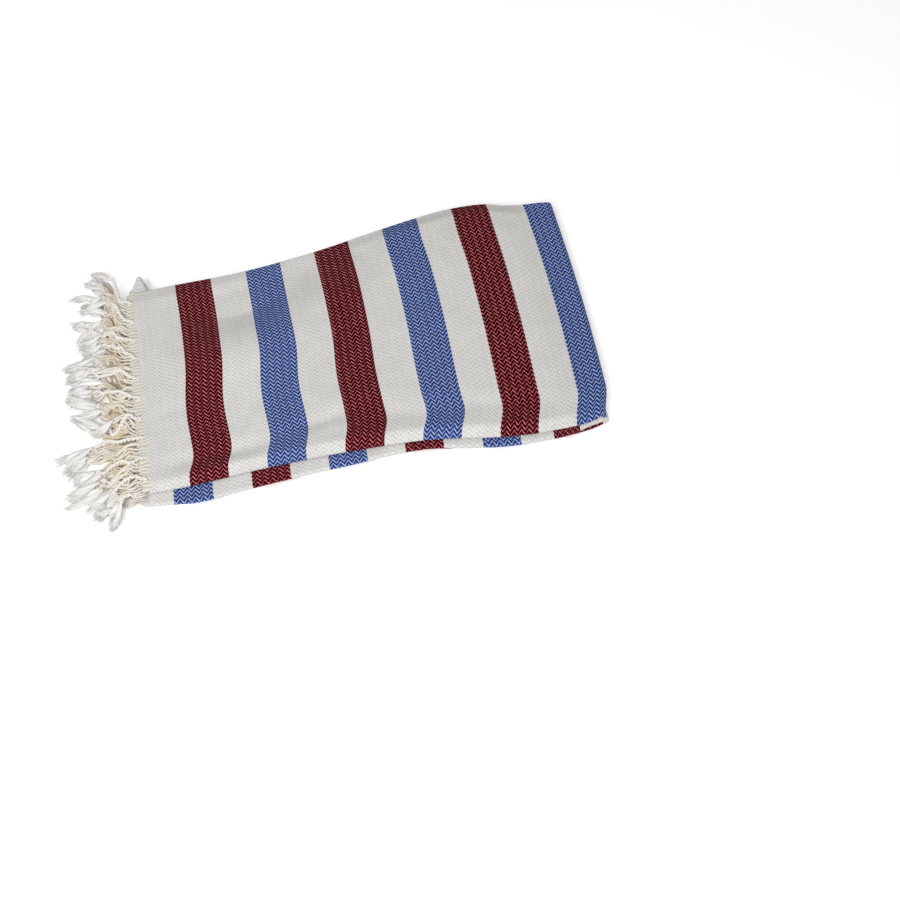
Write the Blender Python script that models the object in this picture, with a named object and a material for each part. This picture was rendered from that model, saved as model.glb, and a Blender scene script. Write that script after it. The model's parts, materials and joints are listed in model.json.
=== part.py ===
"""A folded hammam towel: one woven sheet folded in four across and in four along, with a fringe at each end.

X runs along the folded towel, with both fringed ends at -X. Y runs from its front folds to its back folds.
"""

import math
from collections import namedtuple

import bmesh
import bpy
from mathutils import Vector

# Cloth, in metres
THICK = 0.0010
PITCH = 0.00145  # from one layer of the cloth to the next
HEM_X = 0.0  # the top strip's woven end
LEFT_TURN_X = -0.0060  # where the fold between the second and third strips begins
RIGHT_TURN_X = 0.4109  # where the top strip's far fold begins
LOW_TURN_X = 0.4070  # where the bottom strip's far fold begins
END_X = -0.0130  # the bottom strip's woven end
BOW = 0.0030  # how far the middle of the face lies to the right of its front and back
JOG_DEPTH = 0.034  # over this depth the top strip's front edge slides to the left
SELVEDGE_BACK = 0.0035  # how far the two loose long edges stop short of the back fold
EASE = 0.090  # a strip takes this long to get from the edges of the one above it to its own
STRIP_SHARES = (0.0, 0.1, 0.2, 0.3, 0.4, 0.5, 0.6, 0.7, 0.8, 0.9, 1.0)
CORNER_SHARES = (0.945, 0.964, 0.983)  # more steps beside the corner that comes out behind
TURN_CELLS = 4
FACE_SHARES = (0.0, 0.04, 0.10, 0.17, 0.30, 0.46, 0.62, 0.78, 0.91, 1.0)
OUTER_WRAP_CELLS = 4
INNER_WRAP_CELLS = 2

# The folded outline seen from above: the top strip's front and back edges, and below it the strips' front
# edge and their back edge, which comes out behind in a corner at the left
Outline = namedtuple("Outline", "x front back under corner")
OUTLINE = (
    Outline(-0.020, 0.0005, 0.2165, -0.0080, 0.2390),
    Outline(-0.007, 0.0007, 0.2167, -0.0092, 0.2425),
    Outline(0.001, 0.0009, 0.2169, -0.0099, 0.2500),
    Outline(0.009, 0.0010, 0.2171, -0.0106, 0.2290),
    Outline(0.018, 0.0012, 0.2177, -0.0115, 0.2195),
    Outline(0.035, 0.0015, 0.2190, -0.0128, 0.2180),
    Outline(0.100, 0.0065, 0.2225, -0.0065, 0.2210),
    Outline(0.170, 0.0090, 0.2315, -0.0018, 0.2300),
    Outline(0.241, 0.0080, 0.2450, 0.0030, 0.2440),
    Outline(0.280, 0.0035, 0.2525, -0.0030, 0.2510),
    Outline(0.313, -0.0020, 0.2570, -0.0080, 0.2560),
    Outline(0.350, -0.0050, 0.2575, -0.0100, 0.2570),
    Outline(0.386, -0.0040, 0.2500, -0.0090, 0.2500),
    Outline(0.404, -0.0015, 0.2440, -0.0060, 0.2440),
    Outline(0.420, 0.0060, 0.2370, 0.0010, 0.2370),
)

# The four strips from the top down: which edges each follows, how far its own are set in from them,
# and how far its front slides to the left
Strip = namedtuple("Strip", "name front back front_in back_in jog")
STRIPS = (
    Strip("top", "front", "back", 0.0, 0.0, -0.0065),
    Strip("second", "under", "corner", 0.0, 0.0045, 0.0),
    Strip("third", "under", "corner", 0.0040, 0.0020, 0.0015),
    Strip("bottom", "under", "back", 0.0020, 0.0060, -0.0010),
)

# The top strip's soft ridges and troughs
REST_RISE = 0.0022  # the top strip's loft away from its edges
Crease = namedtuple("Crease", "x y length width turn_deg rise")
CREASES = (
    Crease(0.200, 0.024, 0.260, 0.012, 1.0, 0.0022),
    Crease(0.190, 0.047, 0.210, 0.013, 2.0, -0.0016),
    Crease(0.010, 0.155, 0.055, 0.013, -6.0, -0.0012),
    Crease(0.095, 0.120, 0.050, 0.070, 8.0, 0.0010),
    Crease(0.215, 0.150, 0.030, 0.085, -6.0, -0.0010),
    Crease(0.325, 0.195, 0.070, 0.045, 12.0, 0.0024),
    Crease(0.360, 0.070, 0.040, 0.060, -14.0, 0.0010),
)

# Fringe, in metres
GAP = 0.0004  # between the cloth's woven end and its fringe
BACKING = 0.0030
CORDS_ACROSS = 11
LANES_FRONT = 0.0035  # the fringe begins between these two places across the face
LANES_BACK = 0.2065
ROOT = 0.0018  # a cord's width where it leaves the backing
FAN_X = -0.0175  # the cords head straight out as far as this, and then fan out
FAN_REACH = 0.0750  # and this much further on they are as far sideways as the fan's table says
FLOOR_X = (-0.0150, -0.0500)  # they come down to the floor between these two places
# A cord from its root to its tip: how far along it, its width and its height
Girth = namedtuple("Girth", "part wide high")
GIRTHS = (
    Girth(0.10, 0.0018, 0.0016),
    Girth(0.22, 0.0018, 0.0019),
    Girth(0.34, 0.0019, 0.0020),
    Girth(0.50, 0.0020, 0.0022),
    Girth(0.66, 0.0020, 0.0022),
    Girth(0.76, 0.0020, 0.0022),
    Girth(0.80, 0.0025, 0.0030),
    Girth(0.86, 0.0021, 0.0020),
    Girth(1.00, 0.0027, 0.0018),
)
# The fan of the fringe, for a cord x of the way from the front to the back of the face: how far its tip is
# from the top strip's woven end, how far sideways it heads by the fan's full reach, and how much it bows
Fan = namedtuple("Fan", "x length side bow")
FAN = (
    Fan(0.00, 0.050, -0.0850, 0.0000),
    Fan(0.06, 0.068, -0.0550, 0.0000),
    Fan(0.12, 0.078, -0.0360, 0.0000),
    Fan(0.25, 0.088, -0.0200, 0.0005),
    Fan(0.40, 0.092, -0.0090, 0.0010),
    Fan(0.55, 0.089, 0.0030, 0.0015),
    Fan(0.70, 0.086, 0.0180, 0.0020),
    Fan(0.85, 0.077, 0.0420, 0.0020),
    Fan(0.93, 0.070, 0.0700, 0.0020),
    Fan(1.00, 0.056, 0.1150, 0.0020),
)

CLOTH_COLOUR = (0.80, 0.79, 0.77)
FRINGE_COLOUR = (0.86, 0.80, 0.68)

# A point of the section across the cloth: its share of the way from the front to the back folds, metres to
# the side of that, its height, the cloth's normal there, and which way the path runs on a flat layer
Section = namedtuple("Section", "share side height out up toward")
# A place along the cloth: the centre of a fold or a place on a strip, its base height, the direction round a
# fold, how heights count from there, the strips that it takes its edges from and how far it is between them
Place = namedtuple("Place", "centre_x base sweep sign inner turn strip next_strip mix toward")


def smooth(edge_0, edge_1, value):
    """0 before edge_0, 1 after edge_1 and a soft step between."""
    t = min(max((value - edge_0) / (edge_1 - edge_0), 0.0), 1.0)
    return t * t * (3.0 - 2.0 * t)


def along(table, x, column):
    """A column's value at x, on a smooth curve through the table's rows."""
    if x <= table[0].x:
        return getattr(table[0], column)
    if x >= table[-1].x:
        return getattr(table[-1], column)
    i = max(k for k in range(len(table) - 1) if table[k].x <= x)
    rows = [table[max(i - 1, 0)], table[i], table[i + 1], table[min(i + 2, len(table) - 1)]]
    values = [getattr(row, column) for row in rows]
    step = rows[2].x - rows[1].x
    slope_0 = (values[2] - values[0]) / (rows[2].x - rows[0].x) * step
    slope_1 = (values[3] - values[1]) / (rows[3].x - rows[1].x) * step
    t = (x - rows[1].x) / step
    return (
        values[1] * (2 * t**3 - 3 * t**2 + 1)
        + slope_0 * (t**3 - 2 * t**2 + t)
        + values[2] * (3 * t**2 - 2 * t**3)
        + slope_1 * (t**3 - t**2)
    )


def unevenness(x, y, front, back):
    """How far the top strip stands above lying flat. It is never below 0."""
    fade = (
        smooth(0.0, 0.022, y - front)
        * smooth(0.014, 0.050, back - y)
        * smooth(0.0, 0.050, RIGHT_TURN_X - x)
    )
    rise = REST_RISE
    for crease in CREASES:
        turn = math.radians(crease.turn_deg)
        dx = x - crease.x
        dy = y - crease.y
        lengthwise = (dx * math.cos(turn) + dy * math.sin(turn)) / crease.length
        across = (dy * math.cos(turn) - dx * math.sin(turn)) / crease.width
        rise += crease.rise * math.exp(-lengthwise * lengthwise - across * across)
    return max(rise, 0.0) * fade


def wrap(share, centre, radius, start_deg, end_deg, cells, outward, back):
    """The points inside one wrap of the cloth's section round a fold, without its two ends."""
    points = []
    for k in range(1, cells):
        angle = math.radians(start_deg + (end_deg - start_deg) * k / cells)
        out = math.sin(angle) * (1.0 if back else -1.0)
        up = math.cos(angle)
        points.append(
            Section(share, radius * out, centre + radius * up, out * outward, up * outward, 0)
        )
    return points


def run(shares, height, up, loose_end):
    """The points of one flat layer. A loose long edge stops a little short of the back fold."""
    toward = 1 if shares[-1] > shares[0] else -1
    points = []
    for share in shares:
        side = -SELVEDGE_BACK if loose_end and share == 1.0 else 0.0
        points.append(Section(share, side, height, 0.0, up, toward))
    return points


def folded_section(shares_of_layer):
    """The cloth folded in four across, as one path from one long edge to the other.

    It starts at the second layer from below, turns at the front, the back and the front again,
    and ends at the lowest layer. Heights are from the lowest layer's middle.
    """
    lowest, second, third, top = shares_of_layer
    path = run(second[::-1], PITCH, -1.0, True)
    path += wrap(0.0, 1.5 * PITCH, 0.5 * PITCH, 180, 0, INNER_WRAP_CELLS, 1.0, False)
    path += run(third, 2 * PITCH, 1.0, False)
    path += wrap(1.0, 2.5 * PITCH, 0.5 * PITCH, 180, 0, INNER_WRAP_CELLS, -1.0, True)
    path += run(top[::-1], 3 * PITCH, -1.0, False)
    path += wrap(0.0, 1.5 * PITCH, 1.5 * PITCH, 0, 180, OUTER_WRAP_CELLS, -1.0, False)
    path += run(lowest, 0.0, 1.0, True)
    return path


def strip_places(start_x, end_x, base, sign, number):
    """Places along one flat strip. Its height there is base plus sign times the section's height."""
    toward = 1 if end_x > start_x else -1
    shares = STRIP_SHARES
    if STRIPS[number].back == "corner":
        corner = CORNER_SHARES if toward < 0 else [1.0 - share for share in CORNER_SHARES]
        shares = sorted((*STRIP_SHARES, *corner))
    places = []
    for share in shares:
        gone = (end_x - start_x) * share
        own = smooth(0.0, EASE, abs(gone)) if number else 1.0
        above = max(number - 1, 0)
        places.append(Place(start_x + gone, base, 0.0, sign, 0.0, 0.0, above, number, own, toward))
    return places


def turn_places(centre_x, centre_z, side, sign, inner, number):
    """Places round the fold between one strip and the next. side is 1 for a fold on the right."""
    places = []
    for k in range(1, TURN_CELLS):
        angle = math.pi * k / TURN_CELLS
        sweep, turn = side * math.sin(angle), math.cos(angle)
        places.append(Place(centre_x, centre_z, sweep, sign, inner, turn, number, number, 1.0, 0))
    return places


def folded_length():
    """The four strips and the three folds between them, from the top strip's hem to the bottom strip's."""
    top = 12 * PITCH + THICK / 2
    places = strip_places(HEM_X, RIGHT_TURN_X, top, 1.0, 0)
    places += turn_places(RIGHT_TURN_X, top - 0.5 * PITCH, 1.0, 1.0, 0.5 * PITCH, 0)
    places += strip_places(RIGHT_TURN_X, LEFT_TURN_X, top - PITCH, -1.0, 1)
    places += turn_places(LEFT_TURN_X, top - 4.5 * PITCH, -1.0, -1.0, 3.5 * PITCH, 1)
    places += strip_places(LEFT_TURN_X, LOW_TURN_X, top - 8 * PITCH, 1.0, 2)
    places += turn_places(LOW_TURN_X, top - 8.5 * PITCH, 1.0, 1.0, 0.5 * PITCH, 2)
    places += strip_places(LOW_TURN_X, END_X, top - 9 * PITCH, -1.0, 3)
    return places


def edges_at(x, number):
    """The front and back edges of a strip at x."""
    strip = STRIPS[number]
    front = along(OUTLINE, x, strip.front) + strip.front_in
    back = along(OUTLINE, x, strip.back) - strip.back_in
    return front, back


def put(place, section, offset):
    """Where a place along the cloth and a point of its section meet, offset from the cloth's middle."""
    height = section.height + offset * section.up
    if place.toward:
        x = place.centre_x
        z = place.base + place.sign * height
    else:
        radius = place.inner + place.sign * height
        x = place.centre_x + place.sweep * radius
        z = place.base + place.turn * radius
    first, second = STRIPS[place.strip], STRIPS[place.next_strip]
    front_a, back_a = edges_at(place.centre_x, place.strip)
    front_b, back_b = edges_at(place.centre_x, place.next_strip)
    front = front_a + (front_b - front_a) * place.mix
    back = back_a + (back_b - back_a) * place.mix
    jog = first.jog + (second.jog - first.jog) * place.mix
    front_centre = front + 1.5 * PITCH + THICK / 2
    back_centre = back - 0.5 * PITCH - THICK / 2
    y = front_centre + (back_centre - front_centre) * section.share + section.side + offset * section.out
    if place.toward and place.next_strip == 0:
        z += unevenness(x, y, front, back)
    x += BOW * math.sin(math.pi * section.share) + jog * (1.0 - smooth(0.0, JOG_DEPTH, y - front))
    return Vector((x, y, z))


def put_on_facet(place, section, offset):
    """As put, but on the straight line between the cloth's own points on either side."""
    if not section.toward or section.share in FACE_SHARES:
        return put(place, section, offset)
    k = max(k for k in range(len(FACE_SHARES)) if FACE_SHARES[k] < section.share)
    before, after = FACE_SHARES[k], FACE_SHARES[k + 1]
    loose = section.height < 1.5 * PITCH and after == 1.0
    start = put(place, section._replace(share=before), offset)
    end = put(place, section._replace(share=after, side=-SELVEDGE_BACK if loose else 0.0), offset)
    return start.lerp(end, (section.share - before) / (after - before))


def loft(places, path, placed):
    """A closed sheet through every place and section point, and the faces of its first end."""
    bm = bmesh.new()
    rings = []
    for place in places:
        near = [bm.verts.new(placed(place, section, THICK / 2)) for section in path]
        far = [bm.verts.new(placed(place, section, -THICK / 2)) for section in path]
        rings.append((near, far))
    last = len(path) - 1
    for k in range(len(places) - 1):
        toward_x = places[k].toward or places[k + 1].toward or 1
        for side in (0, 1):
            a, b = rings[k][side], rings[k + 1][side]
            for j in range(last):
                toward_y = path[j].toward or path[j + 1].toward or 1
                corners = [a[j], b[j], b[j + 1], a[j + 1]]
                if toward_x * toward_y < 0:
                    corners = corners[1:] + corners[:1]
                if side:
                    corners.reverse()
                    corners = corners[1:] + corners[:1]
                bm.faces.new((corners[0], corners[1], corners[2]))
                bm.faces.new((corners[0], corners[2], corners[3]))
        for j in (0, last):
            rim = [rings[k][0][j], rings[k][1][j], rings[k + 1][1][j], rings[k + 1][0][j]]
            bm.faces.new(rim if j == 0 else rim[::-1])
    caps = []
    for k in (0, len(places) - 1):
        near, far = rings[k]
        for j in range(last):
            cap = [near[j], near[j + 1], far[j + 1], far[j]]
            face = bm.faces.new(cap if k == 0 else cap[::-1])
            if k == 0:
                caps.append(face)
    bmesh.ops.recalc_face_normals(bm, faces=bm.faces)
    return bm, caps


def to_object(bm, name, colour, soft):
    """A named object with its own material from a bmesh."""
    mesh = bpy.data.meshes.new(name)
    bm.to_mesh(mesh)
    bm.free()
    for polygon in mesh.polygons:
        polygon.use_smooth = soft
    material = bpy.data.materials.new(name)
    material.use_nodes = True
    shader = material.node_tree.nodes["Principled BSDF"]
    shader.inputs["Base Color"].default_value = (*colour, 1.0)
    shader.inputs["Roughness"].default_value = 0.9
    mesh.materials.append(material)
    made = bpy.data.objects.new(name, mesh)
    bpy.context.collection.objects.link(made)
    return made


def build_cloth():
    """The woven towel, hems and all, as one sheet."""
    path = folded_section((FACE_SHARES,) * 4)
    bm, _ = loft(folded_length(), path, put)
    return to_object(bm, "cloth", CLOTH_COLOUR, True)


def root_shares(lane, front, depth, loose_end):
    """The shares of the face at which a layer's cords begin and end, with the cloth's own between them.

    Each of the eight layers that carry cords has its own lane, so that no cord lies over another.
    """
    last = FACE_SHARES[-2]
    squeeze = 1.0 - SELVEDGE_BACK / ((1.0 - last) * depth) if loose_end else 1.0
    ends = []
    for cord in range(CORDS_ACROSS):
        part = (cord + (lane + 0.5) / 8.0) / CORDS_ACROSS
        middle = (LANES_FRONT + (LANES_BACK - LANES_FRONT) * part - front) / depth
        if middle > last:
            middle = last + (middle - last) / squeeze
        ends += [middle - ROOT / 2 / depth, middle + ROOT / 2 / depth]
    clear = [s for s in FACE_SHARES if all(abs(s - end) > 0.6 * ROOT / depth for end in ends)]
    return tuple(sorted(ends + clear)), tuple(ends)


def build_fringe(name, end_x, base, sign, number, lanes):
    """One woven end's fringe: a narrow backing along the folded end, and a cord from each root on it."""
    front, back = edges_at(end_x - GAP - BACKING, number)
    depth = back - front - 2 * PITCH - THICK
    layers = [
        root_shares(lane, front + 1.5 * PITCH + THICK / 2, depth, layer < 2)
        for layer, lane in enumerate(lanes)
    ]
    root_ends = {end for _, ends in layers for end in ends}
    path = folded_section([shares for shares, _ in layers])
    places = [
        Place(end_x - GAP - BACKING * k, base, 0.0, sign, 0.0, 0.0, number, number, 0.0, -1)
        for k in (1, 0)
    ]
    bm, caps = loft(places, path, put_on_facet)
    roots = []
    for j, face in enumerate(caps):
        a, b = path[j], path[j + 1]
        if {a.share, b.share} <= root_ends and abs(a.share - b.share) * depth < 1.01 * ROOT:
            roots.append(face)
    for face in roots:
        grow_cord(bm, face)
    bmesh.ops.recalc_face_normals(bm, faces=bm.faces)
    return to_object(bm, name, FRINGE_COLOUR, False)


def grow_cord(bm, face):
    """Draws one cord out of its root: level past the folds, down to the floor, and on to a knot and a tip."""
    root = face.calc_center_median()
    share = (root.y - LANES_FRONT) / (LANES_BACK - LANES_FRONT)
    length = root.x - HEM_X + along(FAN, share, "length") + 0.004 * math.sin(share * 97.0)
    for girth in GIRTHS:
        x = root.x - length * girth.part
        reached = max((FAN_X - x) / FAN_REACH, 0.0)
        side = along(FAN, share, "side") * reached + along(FAN, share, "bow") * math.sin(math.pi * reached)
        drop = smooth(-FLOOR_X[0], -FLOOR_X[1], -x)
        height = max(root.z * (1.0 - drop) + girth.high / 2 * drop, girth.high / 2)
        middle = Vector((x, root.y + side, height))
        face = bmesh.ops.extrude_discrete_faces(bm, faces=[face])["faces"][0]
        old = face.calc_center_median()
        for vert in face.verts:
            y = girth.wide / 2 if vert.co.y > old.y else -girth.wide / 2
            z = girth.high / 2 if vert.co.z > old.z else -girth.high / 2
            vert.co = middle + Vector((0.0, y, z))


def centre_on_origin(objects):
    """Moves the meshes so that the whole stands on the floor with its middle over the origin."""
    points = [vert.co for made in objects for vert in made.data.vertices]
    middle_x = (min(p.x for p in points) + max(p.x for p in points)) / 2
    middle_y = (min(p.y for p in points) + max(p.y for p in points)) / 2
    shift = Vector((-middle_x, -middle_y, -min(p.z for p in points)))
    for point in points:
        point += shift
    return shift


def main():
    for old in list(bpy.data.objects):
        bpy.data.objects.remove(old, do_unlink=True)
    top = 12 * PITCH + THICK / 2
    cloth = build_cloth()
    fringe_top = build_fringe("fringe_top", HEM_X, top, 1.0, 0, (6, 4, 2, 0))
    fringe_under = build_fringe("fringe_under", END_X, top - 9 * PITCH, -1.0, 3, (1, 3, 5, 7))
    shift = centre_on_origin((cloth, fringe_top, fringe_under))
    print("moved by", [round(value, 5) for value in shift])


main()
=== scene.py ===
import json
import random
from math import atan2, cos, exp, pi, radians, sin

import bmesh
import bpy
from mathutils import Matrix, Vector, noise

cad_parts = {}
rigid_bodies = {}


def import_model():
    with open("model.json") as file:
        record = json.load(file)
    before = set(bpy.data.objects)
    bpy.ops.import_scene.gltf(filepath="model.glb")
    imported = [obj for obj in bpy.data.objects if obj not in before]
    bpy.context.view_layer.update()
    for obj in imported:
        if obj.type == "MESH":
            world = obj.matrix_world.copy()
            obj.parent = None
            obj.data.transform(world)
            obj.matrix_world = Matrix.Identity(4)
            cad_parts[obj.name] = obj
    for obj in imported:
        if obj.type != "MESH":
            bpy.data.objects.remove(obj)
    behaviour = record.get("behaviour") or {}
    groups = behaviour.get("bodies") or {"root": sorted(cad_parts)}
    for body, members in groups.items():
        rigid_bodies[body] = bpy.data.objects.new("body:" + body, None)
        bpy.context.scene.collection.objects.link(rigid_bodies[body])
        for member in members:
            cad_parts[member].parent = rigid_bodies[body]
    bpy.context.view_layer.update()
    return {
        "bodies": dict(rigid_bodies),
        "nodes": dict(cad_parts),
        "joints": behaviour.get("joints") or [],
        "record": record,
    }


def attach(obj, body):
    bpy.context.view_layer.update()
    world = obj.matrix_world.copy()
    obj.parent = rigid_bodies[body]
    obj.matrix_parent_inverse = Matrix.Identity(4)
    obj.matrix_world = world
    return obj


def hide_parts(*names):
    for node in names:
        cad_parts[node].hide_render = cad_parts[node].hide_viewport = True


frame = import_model()
print("frame loaded")


def smooth(low, high, value):  # 0 before low, 1 after high and a soft step between
    t = min(max((value - low) / (high - low), 0.0), 1.0)
    return t * t * (3.0 - 2.0 * t)


def curvePoint(start, leaving, end, arriving, t):  # on a smooth curve with given directions at its ends
    return (start * (2 * t**3 - 3 * t**2 + 1) + leaving * (t**3 - 2 * t**2 + t)
            + end * (3 * t**2 - 2 * t**3) + arriving * (t**3 - t**2))


def columnAt(table, x, column):  # a column's value at x, on a smooth curve through the table
    xs, values = table["x"], table[column]
    if x <= xs[0]:
        return values[0]
    if x >= xs[-1]:
        return values[-1]
    i = max(k for k in range(len(xs) - 1) if xs[k] <= x)
    spots = [max(i - 1, 0), i, i + 1, min(i + 2, len(xs) - 1)]
    x0, x1, x2, x3 = (xs[k] for k in spots)
    v0, v1, v2, v3 = (values[k] for k in spots)
    step = x2 - x1
    leaving = (v2 - v0) / (x2 - x0) * step
    arriving = (v3 - v1) / (x3 - x1) * step
    return curvePoint(v1, leaving, v2, arriving, (x - x1) / step)


cameraPlace = {
    "aim": (0.09936, -0.12761, 0.026),
    "azimuth": -11.03,
    "elevation": 61.79,
    "distance": 1.121,
    "lens": 50.0,
    "sensor": 36.0,
    "clip": (0.05, 20.0),
}


def makeCamera():
    azimuth, elevation = (radians(cameraPlace[k]) for k in ("azimuth", "elevation"))
    level = cos(elevation)
    back = Vector((sin(azimuth) * level, -cos(azimuth) * level, sin(elevation)))
    lens = bpy.data.cameras.new("camera")
    lens.lens, lens.sensor_width = cameraPlace["lens"], cameraPlace["sensor"]
    lens.clip_start, lens.clip_end = cameraPlace["clip"]
    camera = bpy.data.objects.new("camera", lens)
    camera.location = Vector(cameraPlace["aim"]) + back * cameraPlace["distance"]
    camera.rotation_mode = "QUATERNION"
    camera.rotation_quaternion = (-back).to_track_quat("-Z", "Y")
    bpy.context.collection.objects.link(camera)
    bpy.context.scene.camera = camera


studio = {
    "floorSize": 12.0,
    "floorColour": (0.97, 0.97, 0.97),
    "floorGlow": 0.22,
    "floorRoughness": 0.9,
    "worldStrength": 0.30,
    "lights": (  # name, place, size, watts
        ("window", (-0.62, -1.32, 1.93), 1.3, 50.0),
        ("overhead", (0.1, 0.3, 2.0), 1.6, 4.0),
    ),
}


def makeFloor():
    bm = bmesh.new()
    bmesh.ops.create_grid(bm, x_segments=1, y_segments=1, size=studio["floorSize"] / 2)
    mesh = bpy.data.meshes.new("floor")
    bm.to_mesh(mesh)
    bm.free()
    material, _, sockets = startMaterial("paleFloor", studio["floorRoughness"])
    sockets["Base Color"].default_value = (*studio["floorColour"], 1.0)
    sockets["Emission Color"].default_value = (1.0, 1.0, 1.0, 1.0)
    sockets["Emission Strength"].default_value = studio["floorGlow"]
    mesh.materials.append(material)
    floor = bpy.data.objects.new("floor", mesh)
    bpy.context.collection.objects.link(floor)


def makeLights():  # every lamp looks at the middle of the frame
    world = bpy.data.worlds.new("studio")
    world.use_nodes = True
    background = world.node_tree.nodes["Background"]
    background.inputs["Color"].default_value = (1.0, 1.0, 1.0, 1.0)
    background.inputs["Strength"].default_value = studio["worldStrength"]
    bpy.context.scene.world = world
    for name, place, size, watts in studio["lights"]:
        lamp = bpy.data.lights.new(name, "AREA")
        lamp.size, lamp.energy = size, watts
        made = bpy.data.objects.new(name, lamp)
        made.location = place
        made.rotation_mode = "QUATERNION"
        made.rotation_quaternion = (-Vector(place)).to_track_quat("-Z", "Y")
        bpy.context.collection.objects.link(made)
    bpy.context.scene.view_settings.view_transform = "Standard"


# each node helper adds a node and gives its output; a value may be a number or another output
def feed(tree, socket, value):
    if isinstance(value, bpy.types.NodeSocket):
        tree.links.new(value, socket)
    else:
        socket.default_value = value


def mathNode(tree, operation, *values):
    node = tree.nodes.new("ShaderNodeMath")
    node.operation = operation
    for socket, value in zip(node.inputs, values):
        feed(tree, socket, value)
    return node.outputs[0]


def easeNode(tree, value, limits, results=(0.0, 1.0)):  # a soft step between two results
    node = tree.nodes.new("ShaderNodeMapRange")
    node.interpolation_type = "SMOOTHSTEP"
    labels = ("Value", "From Min", "From Max", "To Min", "To Max")
    for label, given in zip(labels, (value, *limits, *results)):
        feed(tree, node.inputs[label], given)
    return node.outputs[0]


def mixNode(tree, share, first, second):
    node = tree.nodes.new("ShaderNodeMix")
    node.data_type = "RGBA"
    feed(tree, node.inputs[0], share)
    for socket, value in ((node.inputs[6], first), (node.inputs[7], second)):  # this node's two colours
        feed(tree, socket, (*value, 1.0) if isinstance(value, tuple) else value)
    return node.outputs[2]


def noiseNode(tree, vector, scale, detail):
    node = tree.nodes.new("ShaderNodeTexNoise")
    feed(tree, node.inputs["Vector"], vector)
    node.inputs["Scale"].default_value = scale
    node.inputs["Detail"].default_value = detail
    return node.outputs["Fac"]


def uvNodes(tree, name):  # a UV map, whole and as its two numbers
    node = tree.nodes.new("ShaderNodeUVMap")
    node.uv_map = name
    split = tree.nodes.new("ShaderNodeSeparateXYZ")
    feed(tree, split.inputs[0], node.outputs[0])
    return node.outputs[0], split.outputs[0], split.outputs[1]


def feedBump(tree, sockets, height, finish):
    bump = tree.nodes.new("ShaderNodeBump")
    bump.inputs["Strength"].default_value = finish["bump"]
    bump.inputs["Distance"].default_value = finish["bumpDepth"]
    feed(tree, bump.inputs["Height"], height)
    feed(tree, sockets["Normal"], bump.outputs[0])


def makeGroup(name, inputs, outputs):  # all its sockets are numbers
    group = bpy.data.node_groups.new(name, "ShaderNodeTree")
    for way, labels in (("INPUT", inputs), ("OUTPUT", outputs)):
        for label in labels:
            group.interface.new_socket(name=label, in_out=way, socket_type="NodeSocketFloat")
    return group, group.nodes.new("NodeGroupInput").outputs, group.nodes.new("NodeGroupOutput").inputs


def placeGroup(tree, group, **values):
    node = tree.nodes.new("ShaderNodeGroup")
    node.node_tree = group
    for label, value in values.items():
        feed(tree, node.inputs[label], value)
    return node.outputs


def startMaterial(name, roughness):
    material = bpy.data.materials.new(name)
    material.use_nodes = True
    shader = material.node_tree.nodes["Principled BSDF"]
    shader.inputs["Roughness"].default_value = roughness
    shader.inputs["Specular IOR Level"].default_value = 0.0
    return material, material.node_tree, shader.inputs


def finishPiece(bm, name, material, slotName, *nodes):
    mesh = bpy.data.meshes.new(name)
    bm.to_mesh(mesh)
    bm.free()
    mesh.materials.append(material)
    piece = bpy.data.objects.new(name, mesh)
    bpy.context.collection.objects.link(piece)
    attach(piece, "root")
    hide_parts(*nodes)
    return piece


# the cloth: lengths are metres, from its own zero on the floor, at the front corner of the top strip's hem
towelZero = Vector((-0.16174, -0.11771, 0.0))  # that zero in the frame
faceCords = (0.0143, 0.0213)  # the face's cords at the hem: the first one's y, and the spacing

towel = {
    "flat": (0.966, 1.715),
    "stripe": 0.035,
    "thick": 0.0009,
    "solidThick": 0.0010,
    "pitch": 0.00145,  # from one layer to the next
    "hemX": 0.0,  # the top strip's woven end
    "leftTurnX": -0.0060,  # where the three folds along the towel begin
    "rightTurnX": 0.4109,
    "lowTurnX": 0.4070,
    "endX": -0.0130,  # the bottom strip's woven end
    "bow": 0.0030,  # the middle of the face lies this far to the right
    "jogDepth": 0.034,  # over this depth the front edge slides to the left
    "selvedgeBack": 0.0035,  # the loose long edges stop short of the back fold
    "ease": 0.045,  # after a right turn a strip gets to its own edges over this length
    "wovenAt": (  # woven length at the two ends of each strip
        (0.0, 0.4109), (0.4290, 0.8585), (0.8680, 1.2810), (1.2950, 1.7150),
    ),
    "slack": (0.0, 0.0135, 0.0, 0.0),  # woven length that a strip takes up in its first stretch
    "slackRun": 0.090,
    "hemAt": (  # where each layer ends, on the top strip and on the bottom strip
        (-0.0150, -0.0150, -0.0128, -0.0080),
        (-0.0150, -0.0155, -0.0160, -0.0165),
    ),
    "hemRun": 0.045,
    "scallop": 0.0034,  # how far the face's hem draws back between two cords
    "scallopRun": 0.016,
    "cornerLift": 0.0060,  # of the second strip's back left corner
    "cornerDepth": 0.030,
    "cornerX": (0.030, 0.012),  # the lift grows from the first x to the second
    "pucker": 0.00035,
    "puckerScale": 34.0,
    "driftRun": 0.060,  # past the right turn the wandering of the stripes dies away
}

clothCells = {  # how finely the cloth's mesh is divided
    "strips": (100, 48, 36, 36),
    "growth": (1.0, 1.6, 1.6, 1.0),  # above 1 they get finer towards the left turn
    "turns": (6, 10, 6),
    "face": 102,
    "second": 38,  # the layer under the face shows at the hem
    "hidden": 12,
    "outerWrap": 10,
    "innerWrap": 4,
    "crowding": 0.35,  # how much finer they get towards the long folds
}

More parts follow.
